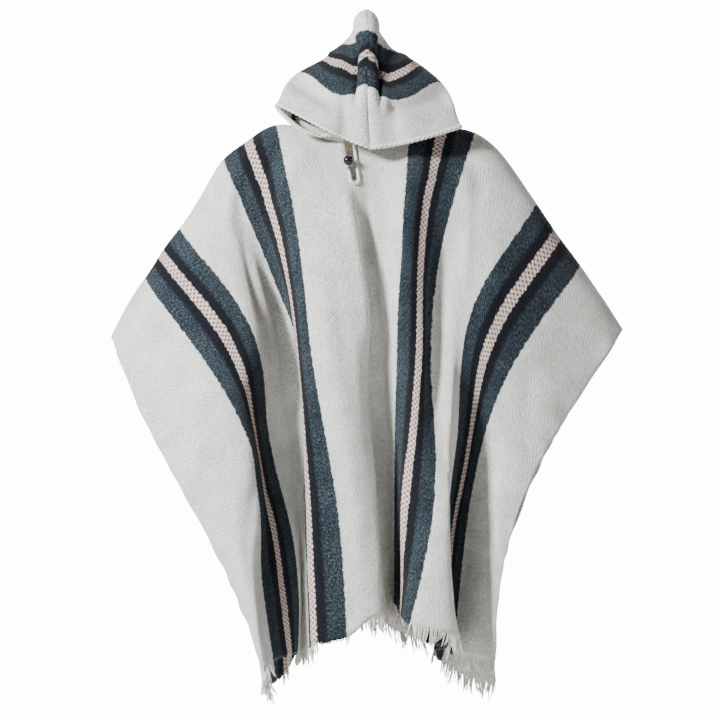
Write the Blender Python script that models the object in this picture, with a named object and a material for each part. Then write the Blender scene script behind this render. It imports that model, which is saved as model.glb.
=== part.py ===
"""A hooded wool poncho that hangs filled out, as worn: one solid for each piece of cloth.

The body is one straight cloth folded over the shoulders. A point on it has two coordinates:
its cut, which is how far its warp thread lies from the middle of the cloth, and its down, which
is how far along the thread it lies from the shoulder fold. The front faces -Y, +X is the
viewer's right, and the shoulder fold lies in the plane Y = 0. The origin is at the shoulders.
"""
import bpy
import numpy as np

# Sizes of the cloth, in metres
WOOL = 0.003
HALF_WIDTH = 0.622
FRONT_LENGTH = 0.900
BACK_LENGTH = 0.950
SEAM_GAP = 0.0005
COLLAR_GAP = 0.0011
FRINGE_GAP = 0.0016
FOLD_GAP = 0.0003
MILLIMETRE = 0.001

# Roundness of the shoulder fold: at the neck, at the wing tips, and how far the first reaches
SHOULDER_ROUND = 0.048
WING_ROUND = 0.030
SHOULDER_REACH = 0.250

# Neck opening in the body, and the slit below it, as cuts and downs
NECK_CENTRE = 0.004
NECK_HALF = 0.085
NECK_FRONT = 0.050
NECK_BACK = 0.070
SLIT_LEFT = -0.002
SLIT_RIGHT = 0.012
SLIT_LENGTH = 0.080

# Stripes: the inner band and the outer band, as cuts from the middle
INNER_BAND = (0.108, 0.224)
OUTER_BAND = (0.374, 0.492)
PINK_STRIPE = (0.42, 0.58)

# Depths of the shares of a warp line that the tables give, from shoulder to hem
LEVELS = np.array([0.0, 0.25, 0.5, 0.75, 1.0])

# Front of the body, a row for each warp line, in millimetres.
# cut; x and z at the shoulder fold; z at the hem; x and y at each level below the fold
FRONT_LINES = (
    (-622, (-430, -348), -962, (-374, -289, -210, -152), (-95, -115, -96, -94)),
    (-557, (-404, -294), -936, (-315, -233, -189, -162), (-122, -150, -138, -124)),
    (-492, (-373, -246), -912, (-261, -178, -168, -147), (-140, -150, -122, -108)),
    (-433, (-344, -203), -903, (-222, -175, -143, -118), (-142, -112, -88, -80)),
    (-374, (-312, -159), -900, (-188, -156, -112, -104), (-132, -74, -60, -54)),
    (-299, (-270, -96), -896, (-177, -122, -99, -96), (-100, -54, -40, -28)),
    (-224, (-234, -37), -890, (-158, -98, -86, -80), (-78, -78, -92, -92)),
    (-166, (-191, -3), -880, (-132, -99, -85, -75), (-98, -128, -146, -150)),
    (-108, (-142, 22), -870, (-103, -75, -35, -18), (-125, -150, -158, -162)),
    (-54, (-82, 18), -840, (-49, -26, 2, 19), (-133, -158, -160, -164)),
    (0, (-24, 14), -830, (3, 20, 36, 50), (-124, -136, -136, -142)),
    (54, (35, 14), -820, (33, 45, 49, 57), (-100, -98, -98, -96)),
    (108, (93, 16), -815, (79, 70, 66, 66), (-125, -118, -94, -74)),
    (166, (150, 17), -831, (113, 107, 88, 77), (-108, -135, -138, -122)),
    (224, (206, 10), -845, (151, 128, 135, 92), (-95, -122, -160, -168)),
    (299, (263, -40), -868, (184, 161, 164, 174), (-115, -150, -152, -154)),
    (374, (314, -115), -884, (205, 175, 156, 161), (-140, -120, -85, -80)),
    (433, (351, -168), -893, (241, 198, 165, 157), (-142, -88, -60, -45)),
    (492, (391, -224), -905, (282, 215, 187, 170), (-135, -80, -42, -18)),
    (557, (430, -278), -908, (332, 259, 224, 210), (-115, -108, -92, -70)),
    (622, (466, -336), -914, (380, 297, 252, 241), (-85, -110, -112, -96)),
)

# Back of the body, with the same columns
BACK_LINES = (
    (-622, (-430, -348), -962, (-370, -284, -209, -154), (95, 110, 80, 45)),
    (-557, (-404, -294), -960, (-316, -238, -196, -168), (122, 145, 125, 105)),
    (-492, (-373, -246), -965, (-262, -190, -170, -154), (142, 172, 165, 160)),
    (-433, (-344, -203), -945, (-222, -165, -138, -128), (158, 172, 180, 205)),
    (-374, (-312, -159), -892, (-190, -150, -118, -98), (152, 148, 150, 170)),
    (-299, (-270, -96), -880, (-168, -140, -118, -112), (130, 105, 100, 105)),
    (-224, (-234, -37), -876, (-146, -112, -100, -95), (112, 90, 70, 48)),
    (-166, (-191, -3), -874, (-118, -88, -66, -60), (125, 115, 110, 98)),
    (-108, (-142, 22), -870, (-86, -76, -70, -66), (145, 160, 158, 155)),
    (-54, (-82, 18), -856, (-46, -36, -30, -26), (155, 172, 170, 172)),
    (0, (-24, 14), -848, (2, 12, 18, 24), (140, 150, 146, 140)),
    (54, (35, 14), -873, (46, 58, 68, 74), (148, 158, 150, 140)),
    (108, (93, 16), -893, (92, 102, 112, 122), (158, 178, 168, 150)),
    (166, (150, 17), -898, (128, 138, 156, 172), (140, 150, 134, 108)),
    (224, (206, 10), -895, (156, 172, 198, 222), (118, 112, 98, 90)),
    (299, (263, -40), -895, (186, 200, 214, 226), (140, 130, 146, 152)),
    (374, (314, -115), -902, (214, 206, 188, 166), (158, 180, 186, 182)),
    (433, (351, -168), -912, (248, 236, 180, 138), (162, 212, 220, 208)),
    (492, (391, -224), -930, (290, 272, 206, 152), (158, 190, 232, 240)),
    (557, (430, -278), -958, (334, 290, 232, 202), (130, 150, 200, 216)),
    (622, (466, -336), -968, (378, 296, 250, 248), (90, 108, 152, 188)),
)

# Hood: its rim is twice HOOD_RIM long, and each panel is HOOD_DEEP from the rim to the back seam
HOOD_RIM = 0.350
HOOD_DEEP = 0.280
HOOD_COLLAR = 0.060
RIM_ROLL = 0.008
RIM_RAISED = 0.0015
HOOD_DEPTHS = np.array([0.0, 0.105, 0.165, 0.225, 0.255, 0.280])

# Hood panels, a row for each rib from rim to back seam, in millimetres.
# how far along the rim from the top seam; points at the rim, the band's near edge, the middle
# and the far edge of the band, the tip, and the back seam
LEFT_RIBS = (
    (0, (23, -100, -19), (18, -98, 75), (19, -66, 136), (21, -42, 182), (18, -26, 214), (18, -4, 224)),
    (10, (13, -102, -15), (9, -98, 75), (10, -66, 130), (8, -38, 179), (3, -14, 214), (17, 6, 220)),
    (25, (-2, -105, -10), (-4, -99, 73), (-1, -66, 119), (-5, -32, 168), (-7, 2, 194), (16, 22, 206)),
    (60, (-30, -107, 2), (-24, -96, 74), (-20, -58, 124), (-20, -18, 164), (-9, 12, 182), (22, 40, 192)),
    (100, (-62, -106, 17), (-48, -84, 82), (-42, -40, 132), (-34, 2, 160), (-12, 34, 168), (20, 58, 176)),
    (165, (-138, -72, 56), (-98, -24, 114), (-64, 18, 136), (-38, 50, 142), (-16, 72, 146), (14, 84, 150)),
    (235, (-102, -72, 16), (-118, 4, 58), (-90, 56, 84), (-54, 88, 98), (-26, 102, 102), (6, 108, 106)),
    (295, (-62, -66, 2), (-110, -16, 30), (-96, 48, 44), (-62, 86, 52), (-36, 100, 54), (-8, 105, 55)),
    (350, (-19, -54, -16), (-106, -28, 16), (-100, 30, 20), (-64, 62, 8), (-42, 70, 2), (-20, 72, 0)),
)
RIGHT_RIBS = (
    (0, (23, -100, -19), (18, -98, 75), (19, -66, 136), (21, -42, 182), (18, -26, 214), (18, -4, 224)),
    (10, (33, -102, -18), (27, -98, 74), (28, -66, 127), (29, -38, 178), (30, -14, 213), (17, 6, 220)),
    (25, (48, -104, -17), (40, -99, 70), (40, -68, 112), (38, -32, 166), (39, 2, 192), (16, 22, 206)),
    (60, (78, -107, -12), (64, -98, 66), (58, -62, 104), (50, -20, 156), (44, 12, 180), (22, 40, 192)),
    (100, (118, -100, -2), (98, -84, 75), (84, -44, 116), (68, 0, 152), (48, 34, 166), (20, 58, 176)),
    (165, (180, -74, 18), (142, -26, 97), (110, 18, 130), (78, 50, 142), (50, 72, 148), (14, 84, 150)),
    (235, (128, -66, 6), (146, 4, 58), (112, 56, 82), (70, 88, 96), (40, 102, 102), (6, 108, 106)),
    (295, (66, -62, -2), (112, -16, 30), (90, 48, 42), (48, 86, 50), (20, 100, 53), (-8, 105, 55)),
    (350, (3, -54, -16), (70, -28, 14), (66, 30, 16), (24, 62, 8), (0, 70, 2), (-20, 72, 0)),
)

# Fringe: locks along each hem, the strip that carries them, their lengths by stripe, and how
# far they turn from the cloth's own direction to hang straight
LOCK_PITCH = 0.0125
LOCK_SHARE = 0.62
STRIP_DEEP = 0.006
CREAM_LOCK = 0.027
PINK_LOCK = 0.022
DARK_LOCK = 0.007
LOCK_SPREAD = 0.004
LOCK_UNEVEN = (0.75, 1.1)
LOCK_TAPER = 0.75
LOCK_KNEE = 0.5
HANG = np.array([0.0, 0.0, -0.6])

# Button, its loop and the edging round the slit
BUTTON_RADIUS = 0.0088
BUTTON_CUT = -0.0045
BUTTON_DOWN = 0.101
BUTTON_CLEAR = 0.012
SHANK_RADIUS = 0.0015
SHANK_LENGTH = 0.0036
LOOP_RADIUS = 0.0009
EDGING_RADIUS = 0.0017
EDGING_START = 0.008

# Numbers of facets
FRONT_COLUMNS = (22, 5, 1, 5, 22)
BACK_COLUMNS = (19, 9, 19)
FRONT_ROWS = 24
BACK_ROWS = 20
HOOD_ALONG = 17
HOOD_ACROSS = 13
ROW_CROWDING = 1.35
TURN_POINTS = 9
LEG_POINTS = 4
SIDE_POINTS = 8
EDGING_SIDES = 6
LOOP_SIDES = 5
BUTTON_RINGS = 9
BUTTON_SIDES = 14
SEED = 7


def spline_weights(knots, at):
    """Matrix that takes values at the knots to values at other places on a natural cubic spline."""
    knots = np.asarray(knots, float)
    count = len(knots)
    step = np.diff(knots)
    bending = np.eye(count)
    rise = np.zeros((count, count))
    for i in range(1, count - 1):
        bending[i, i - 1:i + 2] = step[i - 1], 2 * (step[i - 1] + step[i]), step[i]
        rise[i, i - 1:i + 2] = 6 / step[i - 1], -6 / step[i - 1] - 6 / step[i], 6 / step[i]
    curvature = np.linalg.solve(bending, rise)
    at = np.clip(np.asarray(at, float), knots[0], knots[-1])
    left = np.clip(np.searchsorted(knots, at) - 1, 0, count - 2)
    width = step[left]
    ahead = at - knots[left]
    behind = width - ahead
    weights = np.zeros((len(at), count))
    row = np.arange(len(at))
    weights[row, left] += behind / width
    weights[row, left + 1] += ahead / width
    weights += ((behind ** 3 / width - width * behind) / 6)[:, None] * curvature[left]
    weights += ((ahead ** 3 / width - width * ahead) / 6)[:, None] * curvature[left + 1]
    return weights


def fold_radius(cut):
    """Radius of the shoulder fold: wide at the neck, tighter towards the wing tips."""
    return WING_ROUND + (SHOULDER_ROUND - WING_ROUND) * np.exp(-(cut / SHOULDER_REACH) ** 4)


def drape(lines, length, cut, down):
    """Points of the body's cloth. Each thread leaves the fold level, as a catenary of the fold's
    radius does, and then follows its row of the table. Cut and down are arrays of one shape."""
    shape = cut.shape
    cut = cut.ravel()
    share = down.ravel() / length
    cuts = np.array([row[0] for row in lines]) * MILLIMETRE
    fold = np.array([row[1] for row in lines]) * MILLIMETRE
    hem = np.array([row[2] for row in lines]) * MILLIMETRE
    side = np.array([row[3] for row in lines]) * MILLIMETRE
    depth = np.array([row[4] for row in lines]) * MILLIMETRE
    facing = np.sign(depth.sum())
    across = spline_weights(cuts, cut)
    radius = fold_radius(cut) / length

    def reach(share_down, fold_share):
        return fold_share * length * np.arcsinh(share_down / fold_share)

    def drop(share_down, fold_share):
        whole = np.sqrt(1 + fold_share ** 2) - fold_share
        return (np.sqrt(share_down ** 2 + fold_share ** 2) - fold_share) / whole

    mean_round = SHOULDER_ROUND / length
    along = spline_weights(drop(LEVELS, mean_round), drop(share, mean_round))
    side_at = across @ np.column_stack([fold[:, 0], side])
    depth_at = across @ np.column_stack([np.zeros(len(lines)), depth])
    depth_at -= facing * reach(LEVELS[None, :], radius[:, None])
    x = (side_at * along).sum(axis=1)
    y = facing * reach(share, radius) + (depth_at * along).sum(axis=1)
    top = across @ fold[:, 1]
    z = top + (across @ hem - top) * drop(share, radius)
    return np.stack([x, y, z], axis=1).reshape(shape + (3,))


def unit(vectors):
    """Vectors of length one."""
    return vectors / np.linalg.norm(vectors, axis=-1, keepdims=True)


def normals(points):
    """Unit normals of a grid of points, on its left as the first index then the second grow."""
    return unit(np.cross(np.gradient(points, axis=0), np.gradient(points, axis=1)))


def neck_down(cut, depth):
    """Down of the neck opening's edge, half an ellipse, and zero beside it."""
    share = np.clip(np.abs(cut - NECK_CENTRE) / NECK_HALF, 0, 1)
    return depth * np.sqrt(1 - share ** 2)


def make_node(name, vertices, faces, colour, roughness):
    """One named object with its own plain material."""
    mesh = bpy.data.meshes.new(name)
    mesh.from_pydata([tuple(v) for v in vertices], [], [tuple(f) for f in faces])
    mesh.update()
    node = bpy.data.objects.new(name, mesh)
    bpy.context.scene.collection.objects.link(node)
    material = bpy.data.materials.new(name)
    material.use_nodes = True
    shader = material.node_tree.nodes["Principled BSDF"]
    shader.inputs["Base Color"].default_value = (*colour, 1.0)
    shader.inputs["Roughness"].default_value = roughness
    shader.inputs["Metallic"].default_value = 0.0
    mesh.materials.append(material)
    mesh.shade_smooth()
    mesh.set_sharp_from_angle(angle=np.radians(50))
    return node


def wall(points, half, kept, normal):
    """Vertices and faces of a closed wall about a grid of points, for the cells that are kept."""
    rows, columns = points.shape[:2]
    number = np.arange(rows * columns).reshape(rows, columns)
    back = rows * columns
    faces = []
    for i, j in np.argwhere(kept):
        corners = (number[i, j], number[i + 1, j], number[i + 1, j + 1], number[i, j + 1])
        faces.append(corners)
        faces.append(tuple(c + back for c in reversed(corners)))
        beyond = ((i, j - 1), (i + 1, j), (i, j + 1), (i - 1, j))
        for side, (ni, nj) in enumerate(beyond):
            inside = 0 <= ni < rows - 1 and 0 <= nj < columns - 1
            if inside and kept[ni, nj]:
                continue
            first, second = corners[side], corners[(side + 1) % 4]
            faces.append((second, first, first + back, second + back))
    sides = [(points + half * normal).reshape(-1, 3), (points - half * normal).reshape(-1, 3)]
    points = np.concatenate(sides)
    used = np.unique(np.array([c for face in faces for c in face]))
    place = {old: new for new, old in enumerate(used)}
    return points[used], [tuple(place[c] for c in face) for face in faces]


def columns_between(edges, counts):
    """Cuts that run from edge to edge with a number of equal steps in each stretch."""
    pieces = [np.linspace(a, b, n, endpoint=False) for a, b, n in zip(edges, edges[1:], counts)]
    return np.concatenate(pieces + [edges[-1:]])


def body_panel(lines, length, edges, counts, rows, neck_depth):
    """Grid of a body panel from the neck opening and the fold to the hem."""
    cut = columns_between(np.array(edges), counts)
    share = np.linspace(0, 1, rows) ** ROW_CROWDING
    top = np.maximum(neck_down(cut, neck_depth), FOLD_GAP / 2)
    down = top[:, None] + (length - top)[:, None] * share[None, :]
    points = drape(lines, length, np.repeat(cut[:, None], rows, axis=1), down)
    normal = normals(points)
    normal[top <= FOLD_GAP, 0, 1] = 0.0
    normal = unit(normal)
    hem = points[:, -1], normal[:, -1], points[:, -1] - points[:, -2], cut
    return points, normal, down, hem


def build_body():
    """Front and back of the body, parted at the shoulder fold, with the slit cut in the front."""
    wool = (0.72, 0.70, 0.65)
    neck = NECK_CENTRE - NECK_HALF, NECK_CENTRE + NECK_HALF
    edges = (-HALF_WIDTH, neck[0], SLIT_LEFT, SLIT_RIGHT, neck[1], HALF_WIDTH)
    points, normal, down, front_hem = body_panel(
        FRONT_LINES, FRONT_LENGTH, edges, FRONT_COLUMNS, FRONT_ROWS, NECK_FRONT)
    kept = np.ones((len(points) - 1, FRONT_ROWS - 1), bool)
    slit_column = FRONT_COLUMNS[0] + FRONT_COLUMNS[1]
    slit_rows = int(np.argmin(np.abs(down[slit_column] - NECK_FRONT - SLIT_LENGTH)))
    kept[slit_column, :slit_rows] = False
    make_node("body_front", *wall(points, WOOL / 2, kept, normal), wool, 0.9)

    edges = (-HALF_WIDTH, neck[0], neck[1], HALF_WIDTH)
    points, normal, down, back_hem = body_panel(
        BACK_LINES, BACK_LENGTH, edges, BACK_COLUMNS, BACK_ROWS, NECK_BACK)
    kept = np.ones((len(points) - 1, BACK_ROWS - 1), bool)
    make_node("body_back", *wall(points, WOOL / 2, kept, normal), wool, 0.9)
    return front_hem, back_hem


def stripe_lock(cut):
    """Length of the fringe under a stripe: long in cream, shorter in pink, a stub in the dark."""
    length = np.full(cut.shape, CREAM_LOCK)
    for low, high in (INNER_BAND, OUTER_BAND):
        share = (np.abs(cut) - low) / (high - low)
        length = np.where((share > 0) & (share < 1), DARK_LOCK, length)
        length = np.where((share > PINK_STRIPE[0]) & (share < PINK_STRIPE[1]), PINK_LOCK, length)
    return length


def build_fringe(name, hem, outward, fall, cut, seed):
    """A narrow strip under the hem with locks drawn down from its lower face, all one body."""
    random = np.random.default_rng(seed)
    counts = np.maximum(1, np.round(np.diff(cut) / LOCK_PITCH)).astype(int)
    start = columns_between(cut, counts)
    edge = np.sort(np.concatenate([start, start[:-1] + np.diff(start) * LOCK_SHARE]))

    def along_hem(values):
        return np.stack([np.interp(edge, cut, values[:, k]) for k in range(3)], axis=1)

    line = along_hem(hem)
    out = along_hem(outward) * WOOL / 2
    way = unit(along_hem(fall))
    top = line + way * FRINGE_GAP
    low = top + way * STRIP_DEEP
    rings = np.stack([top + out, low + out, low - out, top - out], axis=1)
    count = len(edge)
    vertices = list(rings.reshape(-1, 3))
    faces = [(0, 1, 2, 3), tuple(4 * (count - 1) + k for k in (3, 2, 1, 0))]
    length = stripe_lock((edge[:-1] + edge[1:]) / 2)
    for i in range(count - 1):
        here, there = 4 * i, 4 * (i + 1)
        faces.append((here, there, there + 1, here + 1))
        faces.append((here + 2, there + 2, there + 3, here + 3))
        faces.append((here + 3, there + 3, there, here))
        root = (here + 1, there + 1, there + 2, here + 2)
        if i % 2:
            faces.append(root)
            continue
        reach = length[i] * random.uniform(*LOCK_UNEVEN)
        lean = unit(way[i] + HANG)
        sway = random.uniform(-LOCK_SPREAD, LOCK_SPREAD, 3) * (1, 1, 0) * reach / CREAM_LOCK
        middle = np.mean([vertices[k] for k in root], axis=0)
        knee = len(vertices)
        if length[i] == DARK_LOCK:
            vertices.append(middle + lean * reach)
            faces += [(root[k], root[(k + 1) % 4], knee) for k in range(4)]
            continue
        for k in root:
            corner = (vertices[k] - middle) * LOCK_TAPER
            vertices.append(middle + corner + lean * reach * LOCK_KNEE + sway)
        vertices.append(middle + lean * reach - LOCK_KNEE * sway)
        for k in range(4):
            after = (k + 1) % 4
            faces.append((root[k], root[after], knee + after, knee + k))
            faces.append((knee + k, knee + after, knee + 4))
    make_node(name, vertices, faces, (0.74, 0.72, 0.67), 0.95)


def cloth_point(lines, length, facing, cut, down):
    """Points of the body's cloth and its outward normals there."""
    here = drape(lines, length, cut, down)
    aside = drape(lines, length, cut + MILLIMETRE, down)
    below = drape(lines, length, cut, down + MILLIMETRE)
    return here, facing * unit(np.cross(aside - here, below - here))


def neck_edge(turn, grow):
    """Points and outward normals of the body's cloth round the neck opening. Turn is 0 at the
    front and a half turn at the nape, positive to the viewer's left; grow widens the opening."""
    cut = NECK_CENTRE - (NECK_HALF + grow) * np.sin(turn)
    at_front = np.cos(turn) > 0
    down_front = (NECK_FRONT + grow) * np.abs(np.cos(turn))
    down_back = (NECK_BACK + grow) * np.abs(np.cos(turn))
    points = np.zeros((len(turn), 3))
    outward = np.zeros((len(turn), 3))
    for lines, length, down, mask, facing in (
            (FRONT_LINES, FRONT_LENGTH, down_front, at_front, -1),
            (BACK_LINES, BACK_LENGTH, down_back, ~at_front, 1)):
        points[mask], outward[mask] = cloth_point(lines, length, facing, cut[mask], down[mask])
    return points, outward


def hood_grid(ribs, along, deep, side):
    """Grid of a hood panel. Ribs and depths are joined by splines, and towards the neck the
    cloth turns into a short collar that stands on the edge of the neck opening."""
    places = np.array([row[0] for row in ribs]) * MILLIMETRE
    knots = np.array([row[1:] for row in ribs]) * MILLIMETRE
    rib_weights = spline_weights(places, along)
    depth_weights = spline_weights(HOOD_DEPTHS, deep)
    points = np.einsum("ia,abk,jb->ijk", rib_weights, knots, depth_weights)
    slit = SLIT_LEFT if side > 0 else SLIT_RIGHT
    start = np.arcsin(side * (NECK_CENTRE - slit) / NECK_HALF)
    turn = side * (start + (np.pi - start) * deep / HOOD_DEEP)
    edge, outward = neck_edge(turn, WOOL)
    stand = WOOL / 2 + COLLAR_GAP
    collar = edge[None] + (stand + HOOD_RIM - along)[:, None, None] * outward[None]
    share = np.clip((along - (HOOD_RIM - HOOD_COLLAR)) / HOOD_COLLAR, 0, 1)
    blend = (share ** 2 * (3 - 2 * share))[:, None, None]
    return points * (1 - blend) + collar * blend


def build_hood():
    """Left and right panels of the hood, sewn together along the top and down the back."""
    wool = (0.72, 0.70, 0.65)
    along = np.linspace(0, 1, HOOD_ALONG) * HOOD_RIM
    deep = np.concatenate([[0.0, RIM_ROLL], np.linspace(RIM_ROLL, HOOD_DEEP, HOOD_ACROSS)[1:]])
    left = hood_grid(LEFT_RIBS, along, deep, 1)
    right = hood_grid(RIGHT_RIBS, along, deep, -1)
    across_left, across_right = normals(left), -normals(right)
    for seam in (np.s_[0, :-1], np.s_[1:, -1]):
        shared = unit(across_left[seam] + across_right[seam])
        across_left[seam] = across_right[seam] = shared
    across_left[0, -1] = across_right[0, -1] = unit(across_left[0, -2] + across_left[1, -1])
    half = np.where(deep <= RIM_ROLL, WOOL / 2 + RIM_RAISED, WOOL / 2)[None, :, None]
    kept = np.ones((HOOD_ALONG - 1, len(deep) - 1), bool)
    aside = np.array([SEAM_GAP / 2, 0.0, 0.0])
    for name, points, normal, side in (
            ("hood_left", left, across_left, -1), ("hood_right", right, -across_right, 1)):
        for seam in (np.s_[0], np.s_[1:, -1]):
            points[seam] += side * aside
        make_node(name, *wall(points, half, kept, normal), wool, 0.9)


def tube(path, radius, sides):
    """Vertices and faces of a round tube along a path, closed by a flat cap at each end."""
    path = np.asarray(path, float)
    way = unit(np.gradient(path, axis=0))
    up = np.array([0.0, 1.0, 0.0])
    first = unit(np.cross(way, up))
    second = np.cross(way, first)
    angle = 2 * np.pi * np.arange(sides) / sides
    ring = np.cos(angle)[None, :, None] * first[:, None] + np.sin(angle)[None, :, None] * second[:, None]
    vertices = (path[:, None] + radius * ring).reshape(-1, 3)
    faces = []
    for i in range(len(path) - 1):
        for k in range(sides):
            here, after = i * sides + k, i * sides + (k + 1) % sides
            faces.append((here, after, after + sides, here + sides))
    last = (len(path) - 1) * sides
    faces.append(tuple(reversed(range(sides))))
    faces.append(tuple(range(last, last + sides)))
    return vertices, faces


def front_point(cut, down, stand):
    """A point that stands off the outer face of the front by a distance."""
    cut, down = np.atleast_1d(cut).astype(float), np.atleast_1d(down).astype(float)
    here, outward = cloth_point(FRONT_LINES, FRONT_LENGTH, -1, cut, down)
    return here + (WOOL / 2 + stand) * outward, outward


def build_closure():
    """Edging round the slit, the ball button on its left side and the loop from its right."""
    bottom = NECK_FRONT + SLIT_LENGTH
    top = NECK_FRONT + EDGING_START
    middle = (SLIT_LEFT + SLIT_RIGHT) / 2
    half = (SLIT_RIGHT - SLIT_LEFT) / 2 + EDGING_RADIUS
    turn = np.linspace(0, np.pi, TURN_POINTS)
    left = np.linspace(BUTTON_DOWN + BUTTON_CLEAR, bottom, LEG_POINTS)[:-1]
    right = np.linspace(bottom, top, SIDE_POINTS)[1:]
    cut = np.concatenate([
        np.full(len(left), middle - half),
        middle - half * np.cos(turn),
        np.full(len(right), middle + half)])
    down = np.concatenate([left, bottom + half * np.sin(turn), right])
    path, _ = front_point(cut, down, EDGING_RADIUS + SEAM_GAP)
    make_node("slit_edging", *tube(path, EDGING_RADIUS, EDGING_SIDES), (0.76, 0.74, 0.68), 0.85)

    ring = SHANK_RADIUS + SEAM_GAP + LOOP_RADIUS
    end = middle + half - EDGING_RADIUS - SEAM_GAP
    turn = np.linspace(0, np.pi, SIDE_POINTS)
    legs = np.linspace(end, BUTTON_CUT, LEG_POINTS + 1)[:-1]
    cut = np.concatenate([legs, BUTTON_CUT - ring * np.sin(turn), legs[::-1]])
    leg = np.full(len(legs), ring)
    down = BUTTON_DOWN + np.concatenate([-leg, -ring * np.cos(turn), leg])
    path, _ = front_point(cut, down, LOOP_RADIUS + SEAM_GAP)
    make_node("button_loop", *tube(path, LOOP_RADIUS, LOOP_SIDES), (0.76, 0.74, 0.68), 0.85)

    seat, outward = front_point(BUTTON_CUT, BUTTON_DOWN, SEAM_GAP)
    seat, axis = seat[0], outward[0]
    start = np.arcsin(SHANK_RADIUS / BUTTON_RADIUS)
    polar = start + (np.pi - start) * np.linspace(0, 1, BUTTON_RINGS)
    radii = np.concatenate([[SHANK_RADIUS], BUTTON_RADIUS * np.sin(polar)])[:-1]
    heights = np.concatenate([[0.0], SHANK_LENGTH + BUTTON_RADIUS * (1 - np.cos(polar))])
    sides = BUTTON_SIDES
    first = unit(np.cross(axis, [0.0, 0.0, 1.0]))
    second = np.cross(axis, first)
    angle = 2 * np.pi * np.arange(sides) / sides
    ring = np.cos(angle)[:, None] * first + np.sin(angle)[:, None] * second
    vertices = [seat + axis * h + ring[k] * r for r, h in zip(radii, heights) for k in range(sides)]
    vertices.append(seat + axis * heights[-1])
    faces = [tuple(reversed(range(sides)))]
    for i in range(len(radii) - 1):
        for k in range(sides):
            here, after = i * sides + k, i * sides + (k + 1) % sides
            faces.append((here, after, after + sides, here + sides))
    last = (len(radii) - 1) * sides
    faces += [(last + k, last + (k + 1) % sides, len(vertices) - 1) for k in range(sides)]
    make_node("button", vertices, faces, (0.01, 0.01, 0.012), 0.12)


def build():
    """The whole poncho."""
    for old in list(bpy.data.objects):
        bpy.data.objects.remove(old)
    front, back = build_body()
    build_fringe("fringe_front", *front, SEED)
    build_fringe("fringe_back", *back, SEED + 1)
    build_hood()
    build_closure()


build()
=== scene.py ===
"""A hand-woven wool poncho with a hood, hanging filled out as if worn, seen from the front."""

import bpy
import numpy as np
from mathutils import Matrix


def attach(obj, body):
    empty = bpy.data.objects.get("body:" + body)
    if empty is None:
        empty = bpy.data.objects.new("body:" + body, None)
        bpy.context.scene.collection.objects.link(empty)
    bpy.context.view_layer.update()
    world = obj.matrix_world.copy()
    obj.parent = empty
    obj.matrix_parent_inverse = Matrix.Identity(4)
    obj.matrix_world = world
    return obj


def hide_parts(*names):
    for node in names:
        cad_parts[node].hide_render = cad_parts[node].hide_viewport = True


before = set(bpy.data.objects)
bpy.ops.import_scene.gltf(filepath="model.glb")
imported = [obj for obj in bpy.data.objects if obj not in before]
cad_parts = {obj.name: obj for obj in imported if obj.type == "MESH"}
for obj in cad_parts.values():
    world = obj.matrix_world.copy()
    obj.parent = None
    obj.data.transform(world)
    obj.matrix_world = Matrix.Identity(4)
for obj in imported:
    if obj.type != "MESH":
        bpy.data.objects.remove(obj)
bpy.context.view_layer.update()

# Camera, floor and studio light. The poncho hangs over a pale floor, and big soft lamps stand
# before it to the left and to the right, and behind it.
PICTURE_MIDDLE = (0.005, -0.390)
PICTURE_WIDE = 1.26
CAMERA_AWAY = 10.0
FOCUS_DEPTH = -0.06

camera_data = bpy.data.cameras.new("camera")
camera_data.sensor_width = 36.0
camera_data.lens = 36.0 * CAMERA_AWAY / PICTURE_WIDE
camera = bpy.data.objects.new("camera", camera_data)
camera.location = (PICTURE_MIDDLE[0], FOCUS_DEPTH - CAMERA_AWAY, PICTURE_MIDDLE[1])
camera.rotation_euler = (np.pi / 2, 0.0, 0.0)
bpy.context.scene.collection.objects.link(camera)
bpy.context.scene.camera = camera


def grid_faces(rows, columns, kept=None):
    """Quads of a grid whose points are numbered row by row, for the cells that are kept."""
    number = np.arange(rows * columns).reshape(rows, columns)
    quads = np.stack([number[:-1, :-1], number[1:, :-1], number[1:, 1:], number[:-1, 1:]], axis=-1)
    return quads[kept] if kept is not None else quads.reshape(-1, 4)


def add_mesh(name, points, faces, uv=None, material=None):
    """A smooth named object from arrays of points and quads, with a UV pair for each point."""
    used, faces = np.unique(faces, return_inverse=True)
    faces = faces.reshape(-1, 4)
    points = points.reshape(-1, 3)[used]
    mesh = bpy.data.meshes.new(name)
    mesh.vertices.add(len(points))
    mesh.vertices.foreach_set("co", points.ravel())
    mesh.loops.add(faces.size)
    mesh.loops.foreach_set("vertex_index", faces.ravel().astype(np.int32))
    mesh.polygons.add(len(faces))
    mesh.polygons.foreach_set("loop_start", np.arange(0, faces.size, 4, dtype=np.int32))
    mesh.polygons.foreach_set("use_smooth", np.ones(len(faces), bool))
    mesh.update(calc_edges=True)
    if uv is not None:
        layer = mesh.uv_layers.new(name="cloth")
        layer.data.foreach_set("uv", uv.reshape(-1, 2)[used][faces.ravel()].ravel())
    piece = bpy.data.objects.new(name, mesh)
    bpy.context.scene.collection.objects.link(piece)
    if material is not None:
        mesh.materials.append(material)
    return piece


FLOOR_HALF = 2.8
FLOOR_LEVEL = -1.25
FLOOR_POINTS = 12


def floor_points(across, along):
    """A level sheet below the hem."""
    return np.stack(np.broadcast_arrays(across, along, FLOOR_LEVEL), axis=-1)


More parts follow.
